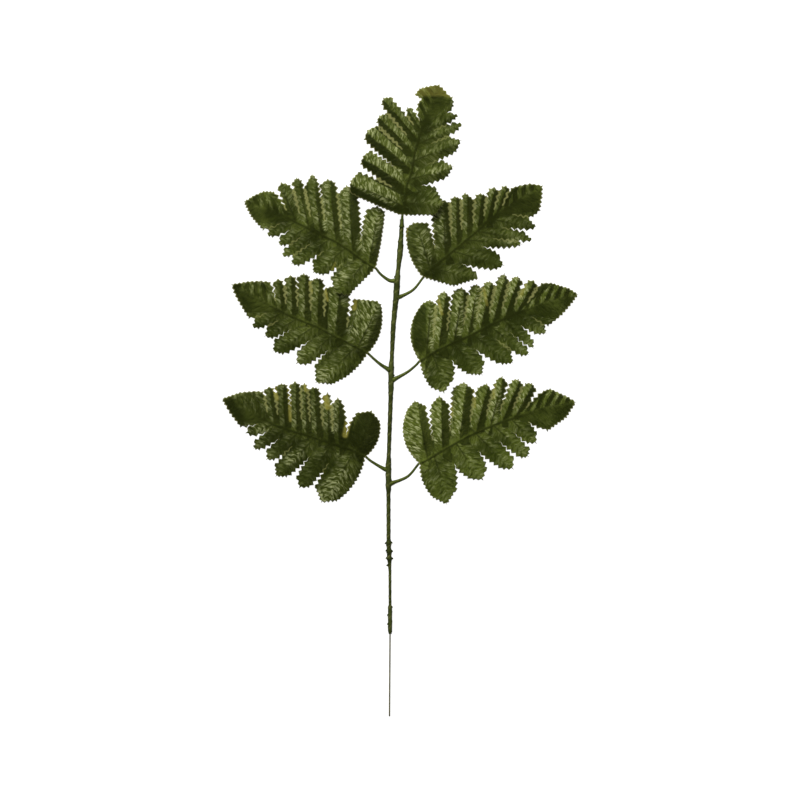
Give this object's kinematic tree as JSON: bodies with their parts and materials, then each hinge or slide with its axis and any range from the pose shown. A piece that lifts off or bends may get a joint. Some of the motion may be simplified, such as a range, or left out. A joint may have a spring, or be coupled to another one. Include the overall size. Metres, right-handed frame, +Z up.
{
  "type": "artificial leatherleaf fern frond",
  "caption": "Artificial leatherleaf fern frond: pressed fabric leaves on moulded ribs, bound to a taped wire stem.",
  "frame": {"origin": "centre of the outline in plan, on the surface that the frond lies on", "axes": "+Y along the stem towards the end leaf, +X to the right of it, +Z up from the surface to the leaves' faces"},
  "size_m": [0.318, 0.56, 0.0125],
  "materials": {
    "leaf": "satin",
    "rib": "satin",
    "tape": "matte",
    "wire": "drawn"
  },
  "bodies": {
    "root": {"stem_wire": "wire", "stem_wrap": "tape", "leaf_terminal": "leaf", "rib_terminal": "rib", "leaf_upper_left": "leaf", "rib_upper_left": "rib", "leaf_upper_right": "leaf", "rib_upper_right": "rib", "leaf_middle_left": "leaf", "rib_middle_left": "rib", "leaf_middle_right": "leaf", "rib_middle_right": "rib", "leaf_lower_left": "leaf", "rib_lower_left": "rib", "leaf_lower_right": "leaf", "rib_lower_right": "rib"}
  },
  "joints": []
}
